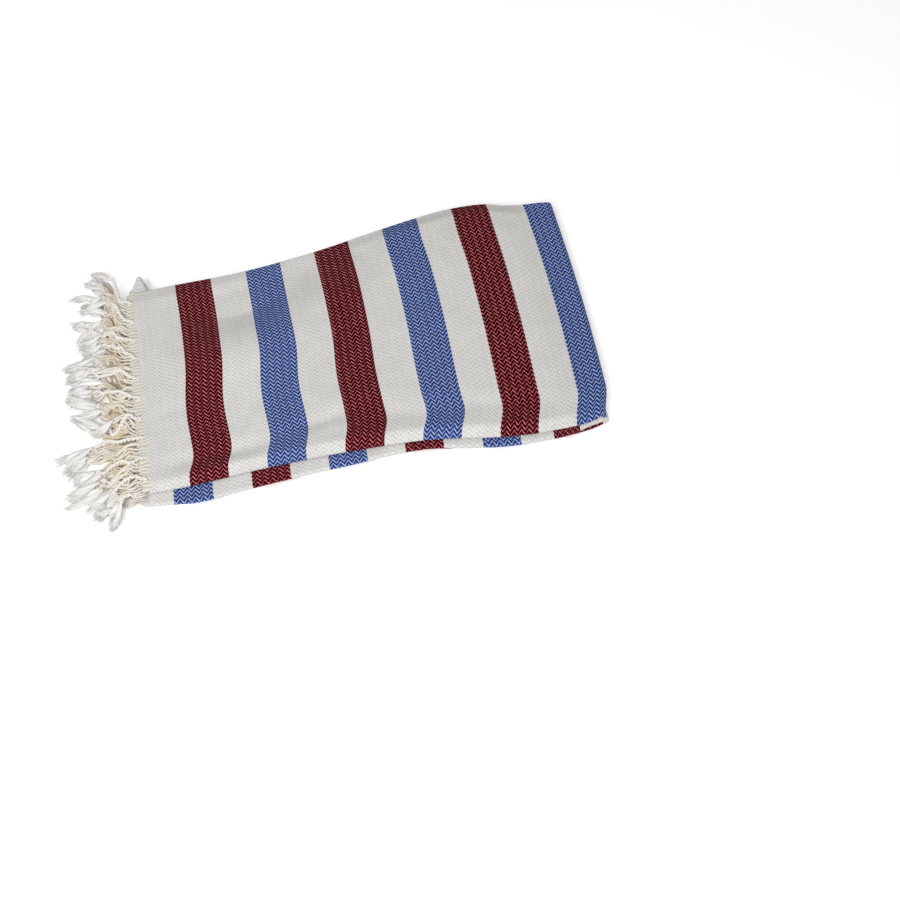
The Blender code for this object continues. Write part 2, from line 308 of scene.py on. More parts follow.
# the folded outline from above: the top strip's front and back, then the lower strips' front and back
outline = {
    "x": (-0.020, -0.007, 0.001, 0.009, 0.018, 0.035, 0.100, 0.170,
          0.241, 0.280, 0.313, 0.348, 0.366, 0.386, 0.404, 0.420),
    "front": (0.0005, 0.0007, 0.0009, 0.0010, 0.0012, 0.0015, 0.0065, 0.0090,
              0.0080, 0.0035, -0.0020, -0.0050, -0.0048, -0.0040, -0.0015, 0.0060),
    "back": (0.2185, 0.2187, 0.2190, 0.2194, 0.2201, 0.2213, 0.2245, 0.2344,
             0.2497, 0.2574, 0.2620, 0.2616, 0.2564, 0.2535, 0.2527, 0.2500),
    "under": (-0.0080, -0.0092, -0.0099, -0.0106, -0.0115, -0.0128, -0.0065, -0.0018,
              0.0016, -0.0048, -0.0095, -0.0110, -0.0103, -0.0090, -0.0060, 0.0010),
    "corner": (0.2300, 0.2355, 0.2465, 0.2275, 0.2215, 0.2215, 0.2240, 0.2330,
               0.2482, 0.2558, 0.2606, 0.2602, 0.2556, 0.2528, 0.2510, 0.2470),
}

# the strips from the top down: their edges' columns, how far these are set in, and their front's slide
strips = (
    {"front": "front", "back": "back", "frontIn": 0.0, "backIn": 0.0, "jog": -0.0065},
    {"front": "under", "back": "corner", "frontIn": 0.0, "backIn": 0.0045, "jog": 0.0},
    {"front": "under", "back": "corner", "frontIn": 0.0070, "backIn": 0.0050, "jog": 0.0015},
    {"front": "under", "back": "back", "frontIn": 0.0060, "backIn": 0.0070, "jog": -0.0010},
)

loft = {  # the top strip's height above lying flat
    "rest": 0.0050,
    "frontRun": 0.0085,
    "backRun": 0.0160,
    "rightRun": 0.0500,
    "atHem": 0.45,  # the share of it that is left at the hem
    "hemRun": 0.0600,
    "ridgeAt": 0.0080,  # a soft ridge runs this far behind the front edge
    "ridgeWide": 0.0070,
    "ridgeRise": 0.0010,
}

creases = (  # x, y, half length, half width, turn in degrees, rise
    (0.082, 0.126, 0.060, 0.030, 5.0, 0.0076),
    (0.160, 0.164, 0.060, 0.030, 28.0, 0.0062),
    (0.084, 0.184, 0.054, 0.027, 6.0, -0.0060),
    (0.154, 0.216, 0.062, 0.028, 28.0, -0.0050),
    (0.052, 0.026, 0.060, 0.0080, 3.0, -0.0032),  # the furrow behind the front ridge
    (0.150, 0.043, 0.038, 0.0080, 10.0, -0.0034),
    (0.228, 0.035, 0.045, 0.0085, -6.0, -0.0022),
    (0.305, 0.030, 0.050, 0.010, -10.0, -0.0020),
    (0.012, 0.078, 0.030, 0.0060, 2.0, -0.0012),
    (0.012, 0.118, 0.030, 0.0060, 3.0, -0.0008),
    (0.225, 0.150, 0.030, 0.085, -6.0, -0.0014),
    (0.325, 0.195, 0.070, 0.045, 12.0, 0.0026),
    (0.300, 0.120, 0.090, 0.022, -12.0, 0.0014),
    (0.360, 0.070, 0.040, 0.060, -14.0, 0.0010),
)

drifts = (  # x, distance behind the front edge, half length, half width, the stripes' shift to the right
    (0.060, 0.076, 0.130, 0.042, -0.0052),
    (0.180, 0.085, 0.060, 0.050, -0.0018),
    (0.160, 0.170, 0.110, 0.080, -0.0028),
    (0.235, 0.020, 0.085, 0.018, 0.0040),
    (0.420, 0.150, 0.050, 0.300, 0.0030),
    (0.250, 0.230, 0.100, 0.035, -0.0024),
    (0.110, 0.112, 0.080, 0.024, 0.0020),
    (0.190, 0.028, 0.060, 0.014, -0.0020),
)


def unevenness(x, y, front, back):  # how far the top strip stands above lying flat
    inFront, behind = y - front, back - y
    fade = (smooth(0.0, loft["frontRun"], inFront) * smooth(0.0, loft["backRun"], behind)
            * smooth(0.0, loft["rightRun"], towel["rightTurnX"] - x)
            * (loft["atHem"] + (1.0 - loft["atHem"]) * smooth(0.0, loft["hemRun"], x)))
    rise = loft["rest"]
    rise += loft["ridgeRise"] * exp(-((inFront - loft["ridgeAt"]) / loft["ridgeWide"]) ** 2)
    for creaseX, creaseY, halfLength, halfWidth, turn, height in creases:
        c, s = cos(radians(turn)), sin(radians(turn))
        lengthwise = ((x - creaseX) * c + (y - creaseY) * s) / halfLength
        across = ((y - creaseY) * c - (x - creaseX) * s) / halfWidth
        rise += height * exp(-lengthwise * lengthwise - across * across)
    rise += towel["pucker"] * noise.noise(Vector((x, y, 0.0)) * towel["puckerScale"])
    return max(rise, 0.0) * fade


def edgesAt(x, number):
    strip = strips[number]
    front = columnAt(outline, x, strip["front"]) + strip["frontIn"]
    back = columnAt(outline, x, strip["back"]) - strip["backIn"]
    return front, back


# a station is a place along the cloth: turn is None on a strip, and sign is -1 where it lies upside down
def station(x, base, sign, number, above, own, length, turn=None):
    frontA, backA = edgesAt(x, above)
    frontB, backB = edgesAt(x, number)
    return {"x": x, "base": base, "sign": sign, "number": number, "length": length, "turn": turn,
            "jog": strips[above]["jog"] + (strips[number]["jog"] - strips[above]["jog"]) * own,
            "front": frontA + (frontB - frontA) * own, "back": backA + (backB - backA) * own}


def stripStations(number, startX, endX, base, sign):
    cells, growth = clothCells["strips"][number], clothCells["growth"][number]
    lengthA, lengthB = towel["wovenAt"][number]
    slack = towel["slack"][number]
    made = []
    for k in range(cells + 1):
        part = (k / cells) ** growth if sign > 0 else 1.0 - (1.0 - k / cells) ** growth
        gone = (endX - startX) * part
        own = smooth(0.0, towel["ease"], abs(gone)) if number % 2 else 1.0
        length = lengthA + (lengthB - lengthA - slack) * part
        length += slack * smooth(0.0, towel["slackRun"], abs(gone))
        made.append(station(startX + gone, base, sign, number, max(number - 1, 0), own, length))
    return made


def turnStations(number, x, base, side, inner):  # to the next strip; side is 1 for a turn on the right
    lengthA, lengthB = towel["wovenAt"][number][1], towel["wovenAt"][number + 1][0]
    cells = clothCells["turns"][number]
    made = []
    for k in range(1, cells):
        angle = pi * k / cells
        after, own = (number + 1, k / cells) if side < 0 else (number, 1.0)  # a left turn changes edges
        length = lengthA + (lengthB - lengthA) * k / cells
        turn = (side * sin(angle), cos(angle), inner)
        made.append(station(x, base, side, after, number, own, length, turn))
    return made


def lengthStations():  # from the top strip's hem to the bottom strip's, with each strip four layers high
    pitch = towel["pitch"]
    left, right, low = towel["leftTurnX"], towel["rightTurnX"], towel["lowTurnX"]
    top = 12 * pitch + towel["solidThick"] / 2
    made = stripStations(0, towel["hemX"], right, top, 1.0)
    made += turnStations(0, right, top - 0.5 * pitch, 1.0, 0.5 * pitch)
    made += stripStations(1, right, left, top - pitch, -1.0)
    made += turnStations(1, left, top - 4.5 * pitch, -1.0, 3.5 * pitch)
    made += stripStations(2, left, low, top - 8 * pitch, 1.0)
    made += turnStations(2, low, top - 8.5 * pitch, 1.0, 0.5 * pitch)
    made += stripStations(3, low, towel["endX"], top - 9 * pitch, -1.0)
    return made


# a section point: its share of the face's depth, metres to the side, its height, the layers it is between
def flatRun(cells, layer, loose, backward):
    crowding = clothCells["crowding"]
    made = []
    for k in range(cells + 1):
        part = k / cells
        share = 0.5 - 0.5 * (crowding * cos(pi * part) + (1.0 - crowding) * (1.0 - 2.0 * part))
        side = -towel["selvedgeBack"] if loose and k == cells else 0.0
        made.append((share, side, layer * towel["pitch"], (layer, layer, 0.0)))
    return made[::-1] if backward else made


def wrapRun(share, centre, radius, start, end, cells, layerA, layerB):  # round a long fold
    outward = 1.0 if share else -1.0
    made = []
    for k in range(1, cells):
        angle = radians(start + (end - start) * k / cells)
        between = (layerA, layerB, k / cells)
        made.append((share, radius * sin(angle) * outward, centre + radius * cos(angle), between))
    return made


def widthSection():  # the cloth folded in four across, from one long edge to the other
    pitch, hidden = towel["pitch"], clothCells["hidden"]
    outer, inner = clothCells["outerWrap"], clothCells["innerWrap"]
    path = flatRun(hidden, 1, True, True)
    path += wrapRun(0.0, 1.5 * pitch, 0.5 * pitch, 180, 0, inner, 1, 2)
    path += flatRun(clothCells["second"], 2, False, False)
    path += wrapRun(1.0, 2.5 * pitch, 0.5 * pitch, 180, 0, inner, 2, 3)
    path += flatRun(clothCells["face"], 3, False, True)
    path += wrapRun(0.0, 1.5 * pitch, 1.5 * pitch, 0, 180, outer, 3, 0)
    path += flatRun(hidden, 0, True, False)
    return path


def faceEnds(place):  # where the flat layers end, at the front and at the back
    pitch, halfThick = towel["pitch"], towel["solidThick"] / 2
    return place["front"] + 1.5 * pitch + halfThick, place["back"] - 0.5 * pitch - halfThick


def onCloth(place, share, side, height):  # a point of the folded cloth, from the towel's own zero
    front, back = faceEnds(place)
    y = front + (back - front) * share + side
    if place["turn"]:
        sweep, drop, inner = place["turn"]
        radius = inner + place["sign"] * height
        x, z = place["x"] + sweep * radius, place["base"] + drop * radius
    else:
        x, z = place["x"], place["base"] + place["sign"] * height
        if place["number"] == 0:
            z += unevenness(x, y, place["front"], place["back"])
        if place["number"] == 1:  # its back left corner sticks out, and up a little
            out = smooth(0.0, towel["cornerDepth"], y - columnAt(outline, x, "back"))
            z += towel["cornerLift"] * out * smooth(*towel["cornerX"], x)
    x += towel["bow"] * sin(pi * share)
    x += place["jog"] * (1.0 - smooth(0.0, towel["jogDepth"], y - place["front"]))
    return Vector((x, y, z))


def hemSlide(place, layers, x, y):  # how far the woven end moves: by layer, and back between cords
    first = place["number"] == 0
    fromEnd = place["length"] if first else towel["flat"][1] - place["length"]
    if fromEnd > towel["hemRun"]:
        return 0.0
    layerA, layerB, part = layers
    ends = towel["hemAt"][0 if first else 1]
    hem = ends[layerA] + (ends[layerB] - ends[layerA]) * part
    endX = towel["hemX"] if first else towel["endX"]
    slide = (hem - (x - place["x"]) - endX) * (1.0 - smooth(0.0, towel["hemRun"], fromEnd))
    onFace = (1.0 - part if layerA == 3 else 0.0) + (part if layerB == 3 else 0.0)
    if first and onFace:
        start, spacing = faceCords
        between = abs(sin(pi * (y - start) / spacing))
        slide += onFace * towel["scallop"] * between * (1.0 - smooth(0.0, towel["scallopRun"], fromEnd))
    return slide


def drift(place, x, y):  # the top strip's stripes wander a little where the cloth was pulled
    if place["number"] > 1:
        return 0.0
    top, right = place["number"] == 0, towel["rightTurnX"]
    fade = 1.0 if top else 1.0 - smooth(0.0, towel["driftRun"], right - place["x"])
    x = min(x, right) if top else right
    behind = y - place["front"]
    total = 0.0
    for driftX, driftY, halfLength, halfWidth, shift in drifts:
        total += shift * exp(-((x - driftX) / halfLength) ** 2 - ((behind - driftY) / halfWidth) ** 2)
    return total * fade


def wovenWidths(spots):  # so that the weave keeps its size in bends
    widths = []
    for row in spots:
        runs = pathRuns(row)
        widths.append([run * towel["flat"][0] / runs[-1] for run in runs])
    return widths


def pathRuns(points):  # how far along a path each of its points is
    runs = [0.0]
    for a, b in zip(points, points[1:]):
        runs.append(runs[-1] + (b - a).length)
    return runs


def makeCloth(material):
    stations, section = lengthStations(), widthSection()
    spots = [[onCloth(place, *point[:3]) for point in section] for place in stations]
    widths = wovenWidths(spots)
    columns, rows = len(stations) - 1, len(section) - 1
    bm = bmesh.new()
    bmesh.ops.create_grid(bm, x_segments=columns, y_segments=rows, size=0.5)
    uvLayer = bm.loops.layers.uv.new("cloth")
    where, slides = {}, {}
    for vert in bm.verts:  # the flat grid is laid on the folds
        i, j = round((vert.co.x + 0.5) * columns), round((vert.co.y + 0.5) * rows)
        where[vert] = (i, j)
        vert.co = spots[i][j]
        slides[vert] = hemSlide(stations[i], section[j][3], vert.co.x, vert.co.y)
        vert.co.x += slides[vert]
    for face in bm.faces:
        face.smooth = True
        for loop in face.loops:
            i, j = where[loop.vert]
            place, spot = stations[i], loop.vert.co
            slide = slides[loop.vert] * (1.0 if place["number"] == 0 else -1.0)
            loop[uvLayer].uv = (place["length"] + slide - drift(place, spot.x, spot.y), widths[i][j])
    bmesh.ops.translate(bm, verts=bm.verts, vec=towelZero)
    cloth = finishPiece(bm, "towelCloth", material, "cloth", "cloth")
    solid = cloth.modifiers.new("thickness", "SOLIDIFY")
    solid.thickness, solid.offset = towel["thick"], 0.0
    cloth.modifiers.new("cleanEdges", "WEIGHTED_NORMAL")  # thin rims don't darken the sheet beside them
    return cloth


clothFinish = {
    "white": (0.692, 0.681, 0.659),
    # painted shade: in the white stripes the zigzag lines are greyed where the weave's relief would shade
    # them
    "whiteLine": (0.395, 0.387, 0.376),
    "burgundy": (0.065, 0.0001, 0.0014),
    "burgundyLine": (0.970, 0.410, 0.455),
    "burgundyFine": 2.2,  # the power that thins its lines
    "blue": (0.0200, 0.0470, 0.2000),
    "blueLine": (0.680, 0.770, 0.990),
    "weave": {
        "Column": 0.0069, "Row": 0.0043, "Slope": 1.35, "Share": 0.22, "Soft": 0.13, "Climbing": 0.72,
    },
    "yarns": {"Pitch": 0.0006},
    "serration": 0.0007,  # the weave's teeth along a stripe's edge
    "end": 0.0001,  # the stripes are counted from this far inside the woven ends
    # the pale lines are patchy, and the whole cloth is a little cloudy
    "mottle": {"scale": 900.0, "detail": 1.0, "limits": (0.34, 0.60), "results": (0.50, 1.0)},
    "cloud": {"scale": 60.0, "detail": 3.0, "limits": (0.2, 0.8), "results": (0.93, 1.0)},
    "hem": (0.740, 0.712, 0.640),  # painted warm shade on the hem of the layers under the face
    "hemShade": (0.440, 0.385, 0.275),  # darker painted shade between its threads
    "hemShare": 0.9,
    "hemLength": (0.002, 0.014),  # it gives way to the weave between these two woven lengths
    "hemWidth": (0.498, 0.504),  # and to the face between these two shares of the width
    "hemThread": 0.0040,
    "hemWander": 0.0042,  # how far its threads stray sideways
    "hemWanderScale": 110.0,
    "hemGap": (0.24, 0.03),  # the shade between two threads, as shares of hemThread
    "weaveBump": 0.6,
    "yarnBump": 0.4,
    "bump": 0.4,
    "bumpDepth": 0.0003,
    "roughness": 0.95,
}


# pale floats climb and fall in columns; Share is a line's part of its row, Climbing its light on the climb
def zigzagGroup():
    group, given, made = makeGroup(
        "zigzagWeave",
        ("Length", "Width", "Column", "Row", "Slope", "Share", "Soft", "Climbing"),
        ("Line", "Height"),
    )
    halfColumn = mathNode(group, "MULTIPLY", given["Column"], 0.5)
    fromTurn = mathNode(group, "PINGPONG", given["Length"], halfColumn)
    climb = mathNode(group, "MULTIPLY", fromTurn, given["Slope"])
    row = mathNode(group, "DIVIDE", mathNode(group, "ADD", given["Width"], climb), given["Row"])
    away = mathNode(group, "MULTIPLY", mathNode(group, "PINGPONG", row, 0.5), 2.0)
    edges = [mathNode(group, way, given["Share"], given["Soft"]) for way in ("ADD", "SUBTRACT")]
    line = easeNode(group, away, edges)
    inColumn = mathNode(group, "FLOORED_MODULO", given["Length"], given["Column"])
    turn = [mathNode(group, "MULTIPLY", given["Column"], part) for part in (0.45, 0.55)]
    falling = easeNode(group, inColumn, turn, (given["Climbing"], 1.0))
    feed(group, made["Line"], mathNode(group, "MULTIPLY", line, falling))
    feed(group, made["Height"], mathNode(group, "COSINE", mathNode(group, "MULTIPLY", row, 2 * pi)))
    return group


def yarnGroup():  # single yarns, as fine ridges both ways
    group, given, made = makeGroup("yarnRidges", ("Length", "Width", "Pitch"), ("Height",))
    waves = []
    for label in ("Length", "Width"):
        turns = mathNode(group, "DIVIDE", given[label], given["Pitch"])
        waves.append(mathNode(group, "SINE", mathNode(group, "MULTIPLY", turns, 2 * pi)))
    feed(group, made["Height"], mathNode(group, "MULTIPLY", *waves))
    return group


def patchyNode(tree, vector, patch):
    noisy = noiseNode(tree, vector, patch["scale"], patch["detail"])
    return easeNode(tree, noisy, patch["limits"], patch["results"])


def stripeColour(tree, length, weaveLine, line):  # white, burgundy, white and blue in turn
    teeth = mathNode(tree, "MULTIPLY", mathNode(tree, "SUBTRACT", weaveLine, 0.5), clothFinish["serration"])
    woven = mathNode(tree, "MAXIMUM", mathNode(tree, "ADD", length, teeth), clothFinish["end"])
    woven = mathNode(tree, "MINIMUM", woven, towel["flat"][1] - clothFinish["end"])
    stripes = mathNode(tree, "DIVIDE", woven, towel["stripe"])
    isColoured = mathNode(tree, "FLOORED_MODULO", mathNode(tree, "FLOOR", stripes), 2.0)
    pair = mathNode(tree, "FLOOR", mathNode(tree, "MULTIPLY", stripes, 0.5))
    isBlue = mathNode(tree, "FLOORED_MODULO", pair, 2.0)
    fineLine = mathNode(tree, "POWER", line, clothFinish["burgundyFine"])
    lines = {"white": line, "burgundy": fineLine, "blue": line}
    # in the white stripes the lines are painted shade; in the coloured ones they are pale floats
    white, burgundy, blue = (mixNode(tree, lines[k], clothFinish[k], clothFinish[k + "Line"]) for k in lines)
    return mixNode(tree, isColoured, white, mixNode(tree, isBlue, burgundy, blue))


def hemShadeColour(tree, uv, length, width, colour):  # lays the hem's threads over the weave's colour on the layers under the face: a painted warm shade, darker painted shade between the threads
    thread = clothFinish["hemThread"]
    edge = [towel["flat"][0] * share for share in clothFinish["hemWidth"]]
    underFace = easeNode(tree, width, edge, (1.0, 0.0))
    atHem = easeNode(tree, length, clothFinish["hemLength"], (clothFinish["hemShare"], 0.0))
    wander = noiseNode(tree, uv, clothFinish["hemWanderScale"], 1.0)
    stray = mathNode(tree, "ADD", width, mathNode(tree, "MULTIPLY", wander, clothFinish["hemWander"]))
    fromGap = mathNode(tree, "PINGPONG", stray, thread / 2)
    gaps = easeNode(tree, fromGap, [thread * share for share in clothFinish["hemGap"]], (0.0, 0.9))
    # painted shade between the hem's threads
    hem = mixNode(tree, gaps, clothFinish["hem"], clothFinish["hemShade"])
    return mixNode(tree, mathNode(tree, "MULTIPLY", underFace, atHem), colour, hem)


def clothMaterial(zigzag, yarns):
    material, tree, sockets = startMaterial("hammamWeave", clothFinish["roughness"])
    uv, length, width = uvNodes(tree, "cloth")
    weave = placeGroup(tree, zigzag, Length=length, Width=width, **clothFinish["weave"])
    fine = placeGroup(tree, yarns, Length=length, Width=width, **clothFinish["yarns"])
    line = mathNode(tree, "MULTIPLY", weave["Line"], patchyNode(tree, uv, clothFinish["mottle"]))
    colour = stripeColour(tree, length, weave["Line"], line)
    colour = hemShadeColour(tree, uv, length, width, colour)
    clouded = tree.nodes.new("ShaderNodeVectorMath")
    clouded.operation = "SCALE"
    feed(tree, clouded.inputs[0], colour)
    feed(tree, clouded.inputs["Scale"], patchyNode(tree, uv, clothFinish["cloud"]))
    feed(tree, sockets["Base Color"], clouded.outputs[0])
    weaveHeight = mathNode(tree, "MULTIPLY", weave["Height"], clothFinish["weaveBump"])
    yarnHeight = mathNode(tree, "MULTIPLY", fine["Height"], clothFinish["yarnBump"])
    feedBump(tree, sockets, mathNode(tree, "ADD", weaveHeight, yarnHeight), clothFinish)
    return material


# the fringe: each layer of a woven end has groups of yarns or single cords, with knots and frayed locks
fringe = {
    "seed": 7,
    "groups": 10,  # to a layer
    "fanShare": 0.80,  # of the spacing that a fan's roots take up
    "gathered": 0.62,  # a fan has drawn together this far along
    "gatheredWide": 0.0048,
    "rootJitter": 0.0015,  # but for the face's own cords
    "overlap": 0.0022,  # a strand starts this far inside the hem
    "sink": 0.0010,  # and this much lower
    "sinkRun": 0.005,
    "levelRun": 0.012,
    "dropRun": (0.004, 0.042),  # it comes down between these two distances from the hem
    "dropTo": 0.0012,
    "leaving": 0.20,  # how far it may turn aside at the hem
    "neckLoose": 0.5,  # of the tail's spread
    "neckReach": (-0.010, 0.006),
    "wave": (0.0010, 0.0050),
    "waveLong": (0.026, 0.055),
    "kink": (0.0002, 0.0011),
    "kinkLong": (0.011, 0.020),
    "turn": 6.283,  # radians in a wave or a kink, and where in it a strand may start
    "phase": (0, 6.28),
    "layCell": 0.0012,
    "pileTop": 0.0085,  # strands that cross higher than this press into each other
    "pileLift": 0.0020,
    "pressed": 0.8,  # a strand's middle lies this many radii above what carries it
    "pileGrow": 0.4,
    "steepest": 0.55,
    "deepFrom": (0.002, 0.011),  # the painted shade on deep strands comes and goes along them
    "deepTo": (0.026, 0.050),
    "deepFront": (0.004, 0.030),  # and is weaker at the towel's front
    "wound": 0.0024,  # one turn of the fine fibres, three to a turn round the strand
}

strandKinds = {
    "cord": {  # two plies, twisted
        "plies": 2, "radius": 0.00112, "apart": 0.00092, "vary": None, "jitter": None,
        "oval": 0.0, "twist": 0.0080, "grooves": 1, "grooveFine": 3, "grooveShade": 0.3, "layReach": 1,
    },
    "yarn": {  # two plies wound into one make it oval, and the oval turns along it
        "plies": 1, "radius": 0.00098, "apart": 0.0, "vary": (0.85, 1.1), "jitter": (-0.08, 0.08),
        "oval": 0.30, "twist": 0.0062, "grooves": 2, "grooveFine": 1, "grooveShade": 0.4, "layReach": 0,
    },
}

# the two ends as they are laid, each from its lowest layer up: the cloth's layer, the first group's y, the
# spacing, how many yarns a group has (1 is a cord), and how much painted shade they get for lying deep
fringeEnds = (
    {"name": "fringeUnder", "node": "fringe_under", "station": -1, "section": 1, "layers": (
        (3, 0.0085, 0.0205, 5, 0.90),
        (2, 0.0160, 0.0205, 4, 0.75),
        (1, 0.0065, 0.0205, 4, 0.60),
        (0, 0.0110, 0.0205, 4, 0.50),
    )},
    {"name": "fringeTop", "node": "fringe_top", "station": 0, "section": 0, "layers": (
        (0, 0.0060, 0.0206, 4, 0.70),
        (1, 0.0150, 0.0205, 4, 0.45),
        (2, 0.0040, 0.0208, 5, 0.12),
        (3, *faceCords, 1, 0.0),
    )},
)

knot = {
    "radius": 0.0019,
    "long": 2.2,  # in radii, as its lift is
    "lift": 0.3,
    "squashed": 0.85,
}

lock = {  # a frayed lock past the knot
    "count": 2,
    "halfWide": 0.0028,
    "halfHigh": 0.0013,
    "vary": (0.75, 1.2),
    "tipLoose": 0.6,  # of the tail's spread
    "tipReach": (-0.008, 0.002),
    "turning": 0.7,
    "strands": 11,
    "strandRadius": 0.00034,
    "strandLong": (0.005, 0.011),
    "strandLean": 0.40,
}

# sides, rings
tubeShapes = {"cord": (6, 60), "yarn": (6, 60), "knot": (8, 6), "lock": (12, 12), "strand": (3, 6)}

# the frayed tails that the groups gather into, from back to front: the tip, the knots, the locks' spread
tails = (
    ((-0.0430, 0.2640), (-0.0275, 0.2480), 0.0016),
    ((-0.0485, 0.2656), (-0.0337, 0.2513), 0.0022),
    ((-0.0553, 0.2564), (-0.0381, 0.2435), 0.0026),
    ((-0.0694, 0.2384), (-0.0478, 0.2284), 0.0028),
    ((-0.0624, 0.2240), (-0.0381, 0.2133), 0.0018),
    ((-0.0709, 0.2075), (-0.0526, 0.1948), 0.0014),
    ((-0.0696, 0.1876), (-0.0454, 0.1886), 0.0034),
    ((-0.0664, 0.1767), (-0.0456, 0.1823), 0.0030),
    ((-0.0597, 0.1672), (-0.0445, 0.1711), 0.0024),
    ((-0.0849, 0.1539), (-0.0530, 0.1566), 0.0044),
    ((-0.0807, 0.1436), (-0.0535, 0.1477), 0.0034),
    ((-0.0773, 0.1284), (-0.0563, 0.1314), 0.0022),
    ((-0.0791, 0.1192), (-0.0556, 0.1123), 0.0026),
    ((-0.0752, 0.0996), (-0.0545, 0.0828), 0.0024),
    ((-0.0584, 0.0756), (-0.0428, 0.0795), 0.0024),
    ((-0.0948, 0.0604), (-0.0621, 0.0619), 0.0050),
    ((-0.0873, 0.0433), (-0.0626, 0.0515), 0.0044),
    ((-0.0778, 0.0321), (-0.0545, 0.0374), 0.0034),
    ((-0.0884, 0.0189), (-0.0551, 0.0272), 0.0040),
    ((-0.0922, 0.0075), (-0.0554, 0.0211), 0.0034),
    ((-0.0689, 0.0012), (-0.0469, 0.0144), 0.0034),
    ((-0.0619, -0.0085), (-0.0439, 0.0067), 0.0034),
    ((-0.0484, -0.0189), (-0.0354, 0.0000), 0.0034),
)
tailReach = {"start": -0.0060, "grow": 1.25, "loose": 0.0070, "keep": 0.6}  # how a group aims at one


def straightTube(sides, rings):  # a closed tube of radius 1 from z=0 to z=1, its rings evenly spaced
    bm = bmesh.new()
    bmesh.ops.create_cone(bm, cap_ends=True, segments=sides, radius1=1.0, radius2=1.0, depth=1.0)
    bmesh.ops.translate(bm, verts=bm.verts, vec=(0.0, 0.0, 0.5))
    rails = [e for e in bm.edges if abs(e.verts[0].co.z - e.verts[1].co.z) > 0.5]
    bmesh.ops.subdivide_edges(bm, edges=rails, cuts=rings - 1, use_grid_fill=True)
    mesh = bpy.data.meshes.new("tube")
    bm.to_mesh(mesh)
    bm.free()
    return mesh


class FringeMesh:
    def __init__(self, tubes):
        self.tubes = tubes
        self.bm = bmesh.new()
        self.uvLayer = self.bm.loops.layers.uv.new("yarn")
        self.toneLayer = self.bm.loops.layers.float_color.new("tone")

    # of a ring and an angle, placed gives the point, wound counts fibres round and along, and tone says how
    # far it is to the tip, its strand's own whim and how much painted shade it gets
    def addTube(self, kind, placed, wound, tone):
        bm, rings = self.bm, tubeShapes[kind][1]
        firstVert, firstFace = len(bm.verts), len(bm.faces)
        bm.from_mesh(self.tubes[kind])
        bm.verts.ensure_lookup_table()
        bm.faces.ensure_lookup_table()
        where = {}
        for k in range(firstVert, len(bm.verts)):
            vert = bm.verts[k]
            ring = round(vert.co.z * rings)
            angle = atan2(vert.co.y, vert.co.x) % (2 * pi)
            where[vert] = (ring, angle)
            vert.co = placed(ring, angle) + towelZero
            vert.co.z = max(vert.co.z, 0.0)  # nothing dips under the floor
        for k in range(firstFace, len(bm.faces)):
            face = bm.faces[k]
            face.smooth = True
            angles = [where[loop.vert][1] for loop in face.loops]
            wraps = max(angles) - min(angles) > pi
            for loop in face.loops:
                ring, angle = where[loop.vert]
                seam = angle + 2 * pi if wraps and angle < pi else angle
                loop[self.uvLayer].uv = wound(ring, seam)
                loop[self.toneLayer] = (*tone(ring, angle), 1.0)


def layHeights(pile, points, radius, reach):  # rests a strand on what already lies there and adds it
    cell, steepest = fringe["layCell"], fringe["steepest"]
    near = [(a, b) for a in range(-reach, reach + 1) for b in range(-reach, reach + 1)]
    cells = [(round(p.x / cell), round(p.y / cell)) for p in points]
    heights = []
    for p, (i, j) in zip(points, cells):
        under = max(pile.get((i + a, j + b), 0.0) for a, b in near)
        highest = max(fringe["pileTop"], p.z + fringe["pileLift"])
        heights.append(max(p.z, min(under, highest) + radius * fringe["pressed"]))
    falls = [steepest * (b - a).to_2d().length for a, b in zip(points, points[1:])]
    for k in range(1, len(heights)):
        heights[k] = max(heights[k], heights[k - 1] - falls[k - 1])
    for k in range(len(heights) - 2, -1, -1):
        heights[k] = max(heights[k], heights[k + 1] - falls[k])
    for _ in range(4):  # and it bends gently
        middles = [(a + 2 * b + c) / 4 for a, b, c in zip(heights, heights[1:], heights[2:])]
        heights = [heights[0], *middles, heights[-1]]
    for p, (i, j), z in zip(points, cells, heights):
        p.z = z
        for a, b in near:
            spot = (i + a, j + b)
            pile[spot] = max(pile.get(spot, 0.0), z + fringe["pileGrow"] * radius)


def directions(points, k):  # ahead, sideways and upward at a point of a path
    ahead = (points[min(k + 1, len(points) - 1)] - points[max(k - 1, 0)]).normalized()
    side = ahead.cross(Vector((0.0, 0.0, 1.0))).normalized()
    return ahead, side, side.cross(ahead)


def tubeSide(frame, angle, wide=1.0, high=1.0):  # from a tube's middle to its side
    _, sideways, upward = frame
    return sideways * cos(angle) * wide + upward * sin(angle) * high


def rootPoint(place, section, layer, y):
    front, back = faceEnds(place)
    root = onCloth(place, (y - front) / (back - front), 0.0, layer * towel["pitch"])
    root.x = towel["hemAt"][section][layer]
    return root


def groupRoute(root, tail, aimY, rng, rings):  # from inside the hem to the tail's neck, in plan
    tip, neck, spread = Vector(tail[0]), Vector(tail[1]), tail[2]
    heading = (tip - neck).normalized()
    aside = Vector((heading.y, -heading.x))
    off = tailReach["keep"] * (aimY - neck.y) + rng.gauss(0.0, fringe["neckLoose"]) * spread
    neck = neck + aside * off + heading * rng.uniform(*fringe["neckReach"])
    start = root.to_2d() + Vector((fringe["overlap"], 0.0))
    far = (neck - start).length
    leaving = Vector((-far, rng.uniform(-fringe["leaving"], fringe["leaving"]) * far))
    arriving = heading * far * 0.8
    wave, waveLong, phase = (rng.uniform(*fringe[k]) for k in ("wave", "waveLong", "phase"))
    route = []
    for k in range(rings + 1):
        t = k / rings
        sway = wave * smooth(0.08, 0.35, t) * (1.0 - smooth(0.75, 1.0, t))
        swing = sin(fringe["turn"] * far * t / waveLong + phase)
        route.append(curvePoint(start, leaving, neck, arriving, t) + Vector((0.3, 1.0)) * sway * swing)
    return route, heading, aside


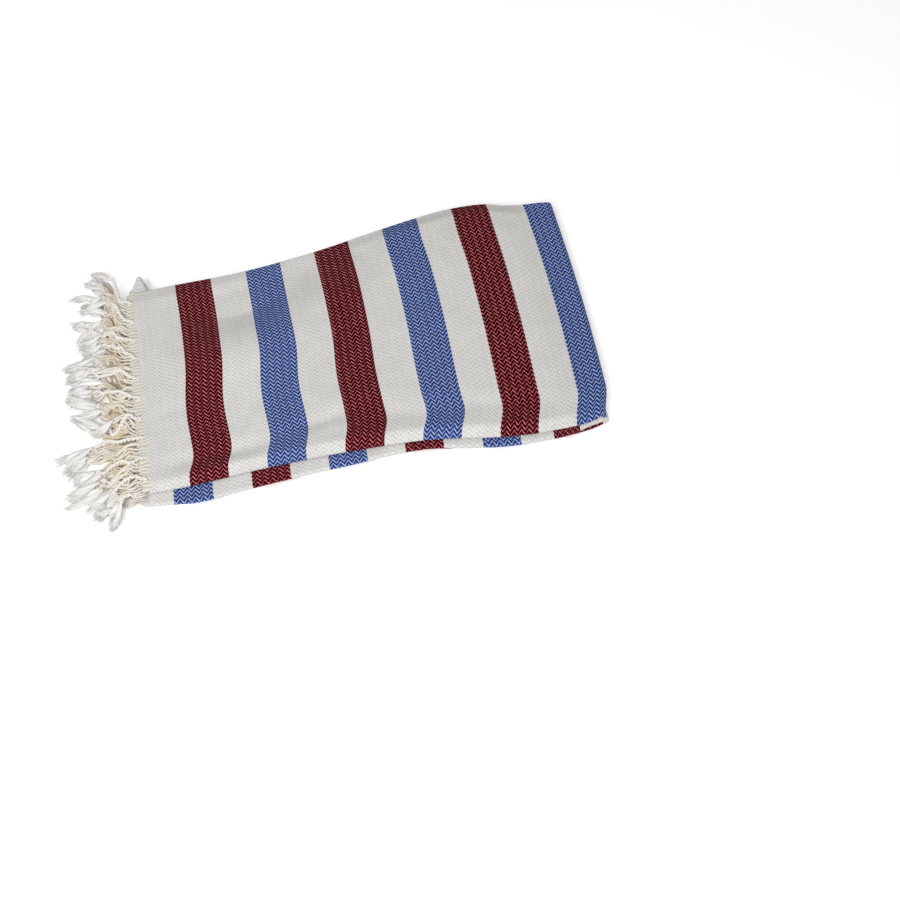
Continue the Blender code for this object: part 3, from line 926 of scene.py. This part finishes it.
def strandRoute(route, place, spacing, rng):  # its own way beside its group's, drawn in towards the knot
    rings = len(route) - 1
    far = (route[-1] - route[0]).length
    kink, kinkLong, phase = (rng.uniform(*fringe[k]) for k in ("kink", "kinkLong", "phase"))
    wide, narrow = place * spacing * fringe["fanShare"], place * fringe["gatheredWide"]
    points = []
    for k in range(rings + 1):
        t = k / rings
        ahead = (route[min(k + 1, rings)] - route[max(k - 1, 0)]).normalized()
        drawn = smooth(0.05, fringe["gathered"], t)
        curl = kink * sin(fringe["turn"] * far * t / kinkLong + phase)
        curl *= smooth(0.05, 0.3, t) * (1.0 - smooth(0.8, 1.0, t))
        off = wide * (1.0 - drawn) + narrow * drawn + curl
        spot = route[k] + Vector((-ahead.y, ahead.x)) * -off
        points.append(Vector((spot.x, spot.y, 0.0)))
    return points


def settle(points, root, radius, pile, reach):  # heights from the hem's layer down to what lies there
    for p in points:
        drop = smooth(*fringe["dropRun"], root.x - p.x)
        p.z = max(root.z * (1.0 - drop) + fringe["dropTo"] * drop, radius)
    layHeights(pile, points, radius, reach)
    runs = pathRuns(points)
    for point, run in zip(points, runs):  # the root stays on its own layer
        low = root.z - fringe["sink"] * (1.0 - smooth(0.0, fringe["sinkRun"], run))
        point.z = low + (point.z - low) * smooth(0.0, fringe["levelRun"], run)
    return runs


def addPly(strands, name, points, runs, frames, radius, phase, whim, deep):
    kind = strandKinds[name]

    def winding(ring):
        return phase + 2 * pi * runs[ring] / kind["twist"]

    def placed(ring, angle):
        turn, frame = winding(ring), frames[ring]
        grown = smooth(-0.003, 0.005, runs[ring])
        oval = 1.0 + kind["oval"] * cos(2 * (angle - turn))
        centre = points[ring] + tubeSide(frame, turn) * kind["apart"] * grown
        return centre + tubeSide(frame, angle) * radius * oval * grown

    def wound(ring, angle):
        return (3 * angle / (2 * pi) + runs[ring] / fringe["wound"], runs[ring])

    def tone(ring, angle):
        # painted shade: the grooves between plies and strands deep in the pile turn tan
        groove = (0.5 - 0.5 * cos(kind["grooves"] * (angle - winding(ring)))) ** kind["grooveFine"]
        run = runs[ring]
        shade = deep * smooth(*fringe["deepFrom"], run) * (1.0 - smooth(*fringe["deepTo"], run))
        shade *= smooth(*fringe["deepFront"], points[ring].y)
        return (0.5 * ring / (len(points) - 1), whim, min(groove * kind["grooveShade"] + shade, 1.0))

    strands.addTube(name, placed, wound, tone)


def addStrand(strands, name, points, runs, deep, rng):  # one yarn, or one cord with all its plies
    kind = strandKinds[name]
    radius = kind["radius"] * (rng.uniform(*kind["vary"]) if kind["vary"] else 1.0)
    frames = [directions(points, k) for k in range(len(points))]
    spin, whim = rng.uniform(*fringe["phase"]), rng.random()
    for ply in range(kind["plies"]):
        addPly(strands, name, points, runs, frames, radius, spin + pi * ply, whim, deep)
    return frames


def addKnot(strands, end, frame, whim):
    radius, rings = knot["radius"], tubeShapes["knot"][1]
    lift = Vector((0.0, 0.0, radius * knot["lift"]))

    def placed(ring, angle):
        t = ring / rings
        bulge = sin(pi * (0.08 + 0.84 * t)) * (1 + 0.12 * cos(3 * angle + 9 * t))
        radial = tubeSide(frame, angle, high=knot["squashed"])
        return end + frame[0] * (t - 0.3) * knot["long"] * radius + radial * radius * bulge + lift

    # painted shade on the knot, heavier on every other ring
    strands.addTube("knot", placed, lambda ring, angle: (angle / 2.1 + ring * 0.6, 0.0),
                    lambda ring, angle: (0.5, whim, 0.1 + 0.15 * (ring % 2)))


def addLock(strands, end, tail, heading, aside, pile, rng, whim):
    tip, _, spread = tail
    tip = Vector(tip) + aside * rng.gauss(0.0, lock["tipLoose"]) * spread
    tip += heading * rng.uniform(*lock["tipReach"])
    start = end.to_2d()
    far = (tip - start).length
    arriving = (heading + aside * rng.uniform(-lock["turning"], lock["turning"])) * far
    rings = tubeShapes["lock"][1]
    centres = []
    for k in range(rings + 1):
        t = k / rings
        spot = curvePoint(start, heading * far, tip, arriving, t)
        centres.append(Vector((spot.x, spot.y, max(end.z * (1.0 - smooth(0.0, 0.8, t)), lock["halfHigh"]))))
    layHeights(pile, centres, lock["halfHigh"] * 0.8, 1)
    frames = [directions(centres, k) for k in range(rings + 1)]
    wide = lock["halfWide"] * rng.uniform(*lock["vary"])
    phase = rng.uniform(*fringe["phase"])

    def placed(ring, angle):  # narrow at the knot, full in the middle, ragged all along
        t = ring / rings
        full = (0.45 + 0.55 * smooth(0.0, 0.45, t)) * (1.0 - 0.50 * smooth(0.75, 1.0, t))
        full *= 1.0 + 0.14 * sin(2 * angle + 5 * t + phase) + 0.10 * sin(5 * angle - 4 * t)
        return centres[ring] + tubeSide(frames[ring], angle, wide, lock["halfHigh"]) * full

    strands.addTube("lock", placed, lambda ring, angle: (1.6 * angle + 0.25 * ring, ring * 0.002),
                    lambda ring, angle: (0.6 + 0.4 * ring / rings, whim, 0.0))
    for number in range(lock["strands"]):
        ring = rng.randint(3, rings - 2)
        addLooseStrand(strands, centres[ring], frames[ring], wide, number, whim, rng)


def addLooseStrand(strands, begin, frame, lockWide, number, whim, rng):  # it has left its lock
    lean, reach = rng.gauss(0.0, lock["strandLean"]), rng.uniform(*lock["strandLong"])
    off = rng.uniform(-1.0, 1.0) * lockWide * 0.8
    ahead, sideways, _ = frame
    radius, rings = lock["strandRadius"], tubeShapes["strand"][1]
    points = []
    for k in range(rings + 1):
        t = k / rings
        spot = begin + ahead * reach * t + sideways * (off + lean * reach * t * t)
        spot.z = max(begin.z * (1.0 - t) + 0.0006 * sin(3 * t + number), radius)
        points.append(spot)

    def placed(ring, angle):
        thin = radius * (1.0 - 0.5 * (ring / rings) ** 2)
        return points[ring] + tubeSide(directions(points, ring), angle) * thin

    strands.addTube("strand", placed, lambda ring, angle: (angle / 2.1, 0.0),
                    lambda ring, angle: (0.8 + 0.2 * ring / rings, whim, 0.0))


def addGroup(strands, root, tail, aimY, count, spacing, deep, pile, rng):
    name = "cord" if count == 1 else "yarn"
    kind, rings = strandKinds[name], tubeShapes[name][1]
    route, heading, aside = groupRoute(root, tail, aimY, rng, rings)
    middle = (count - 1) / 2
    order = sorted(range(count), key=lambda k: abs(k - middle))  # the middle ones lie lowest
    for k in order:
        place = (k - middle) / count + (rng.uniform(*kind["jitter"]) if kind["jitter"] else 0.0)
        points = strandRoute(route, place, spacing, rng)
        runs = settle(points, root, kind["radius"] + kind["apart"], pile, kind["layReach"])
        frames = addStrand(strands, name, points, runs, deep, rng)
        if k == order[0]:
            end, endFrame = points[rings], frames[rings]
    whim = rng.random()
    addKnot(strands, end, endFrame, whim)
    for _ in range(lock["count"]):
        addLock(strands, end, tail, heading, aside, pile, rng, whim)


def makeFringes(material):
    tubes = {kind: straightTube(*shape) for kind, shape in tubeShapes.items()}
    stations = lengthStations()
    pile = {}
    rng = random.Random(fringe["seed"])
    made = []
    for end in fringeEnds:
        strands = FringeMesh(tubes)
        for layer, start, spacing, count, deep in end["layers"]:
            for group in range(fringe["groups"]):
                jitter = rng.uniform(-fringe["rootJitter"], fringe["rootJitter"]) if deep else 0.0
                y = start + spacing * group + jitter
                root = rootPoint(stations[end["station"]], end["section"], layer, y)
                aimY = tailReach["start"] + tailReach["grow"] * root.y
                wanted = aimY + rng.gauss(0.0, tailReach["loose"])
                tail = min(tails, key=lambda one: abs(one[1][1] - wanted))  # with the nearest knots
                addGroup(strands, root, tail, aimY, count, spacing, deep, pile, rng)
        made.append(finishPiece(strands.bm, end["name"], material, "fringe", end["node"]))
        print(end["name"], len(made[-1].data.polygons), "faces")
    for tube in tubes.values():
        bpy.data.meshes.remove(tube)
    return made


fringeFinish = {
    "cream": (0.850, 0.835, 0.805),
    "paintedShadeTan": (0.600, 0.505, 0.350),
    "paintedGlow": 0.14,  # painted light: the deep layers and the tails glow, standing in for light that comes through the loose yarns
    "tip": (0.765, 0.756, 0.738),
    "tipShade": (0.665, 0.654, 0.624),
    "tipFrom": (0.55, 0.80),  # of the way to the tip, where the frayed colour takes over
    "tipShare": 0.9,
    "fibres": (2.6, 5.0, 40.0),  # how fast the gaps change round a lock, along it and from group to group
    "frayFrom": 0.60,
    "fray": {"RootCover": 0.76, "TipCover": 0.42, "Soft": 0.05},
    "grooveShade": 0.22,
    "roughness": 0.9,
    "bump": 0.5,
    "bumpDepth": 0.0003,
}


def frayedGroup():  # loose fibres: gaps between them open towards the end of a frayed lock
    group, given, made = makeGroup(
        "frayedEnds",
        ("Around", "Along", "Whim", "RootCover", "TipCover", "Soft"),
        ("Cover",),
    )
    spot = group.nodes.new("ShaderNodeCombineXYZ")
    for socket, label, scale in zip(spot.inputs, ("Around", "Along", "Whim"), fringeFinish["fibres"]):
        feed(group, socket, mathNode(group, "MULTIPLY", given[label], scale))
    fibres = noiseNode(group, spot.outputs[0], 1.0, 2.0)
    covers = (given["RootCover"], given["TipCover"])
    limit = easeNode(group, given["Along"], (fringeFinish["frayFrom"], 1.0), covers)
    edges = [mathNode(group, way, limit, given["Soft"]) for way in ("ADD", "SUBTRACT")]
    feed(group, made["Cover"], easeNode(group, fibres, edges))
    return group


def fringeMaterial(frayed):
    material, tree, sockets = startMaterial("fringeYarn", fringeFinish["roughness"])
    toneNode = tree.nodes.new("ShaderNodeVertexColor")
    toneNode.layer_name = "tone"
    tone = tree.nodes.new("ShaderNodeSeparateColor")
    feed(tree, tone.inputs[0], toneNode.outputs[0])
    toTip, whim, paintedShade = tone.outputs["Red"], tone.outputs["Green"], tone.outputs["Blue"]
    _, around, _ = uvNodes(tree, "yarn")
    ridge = mathNode(tree, "SINE", mathNode(tree, "MULTIPLY", around, 2 * pi))
    groove = easeNode(tree, ridge, (-0.2, -1.0), (0.0, fringeFinish["grooveShade"]))
    # painted shade: deep strands and the grooves between plies are mixed towards tan
    colour = mixNode(tree, mathNode(tree, "ADD", paintedShade, groove), fringeFinish["cream"], fringeFinish["paintedShadeTan"])
    # painted shade in the grooves between a lock's fibres
    streak = easeNode(tree, ridge, (-1.0, 0.4), (1.0, 0.0))
    tail = mixNode(tree, streak, fringeFinish["tip"], fringeFinish["tipShade"])
    tipped = easeNode(tree, toTip, fringeFinish["tipFrom"], (0.0, fringeFinish["tipShare"]))
    feed(tree, sockets["Base Color"], mixNode(tree, tipped, colour, tail))
    # painted light: deep strands glow in the painted shade's tan, and the tails in their own colour
    paintedDeepGlow = mixNode(tree, paintedShade, (0.0, 0.0, 0.0), fringeFinish["paintedShadeTan"])
    feed(tree, sockets["Emission Color"], mixNode(tree, tipped, paintedDeepGlow, fringeFinish["tip"]))
    sockets["Emission Strength"].default_value = fringeFinish["paintedGlow"]
    fray = placeGroup(tree, frayed, Around=around, Along=toTip, Whim=whim, **fringeFinish["fray"])
    feed(tree, sockets["Alpha"], fray["Cover"])
    feedBump(tree, sockets, ridge, fringeFinish)
    return material


makeCamera()
makeFloor()
makeLights()
print("camera and studio made")
cloth = makeCloth(clothMaterial(zigzagGroup(), yarnGroup()))
print("cloth made")
fringes = makeFringes(fringeMaterial(frayedGroup()))
print("fringe made")
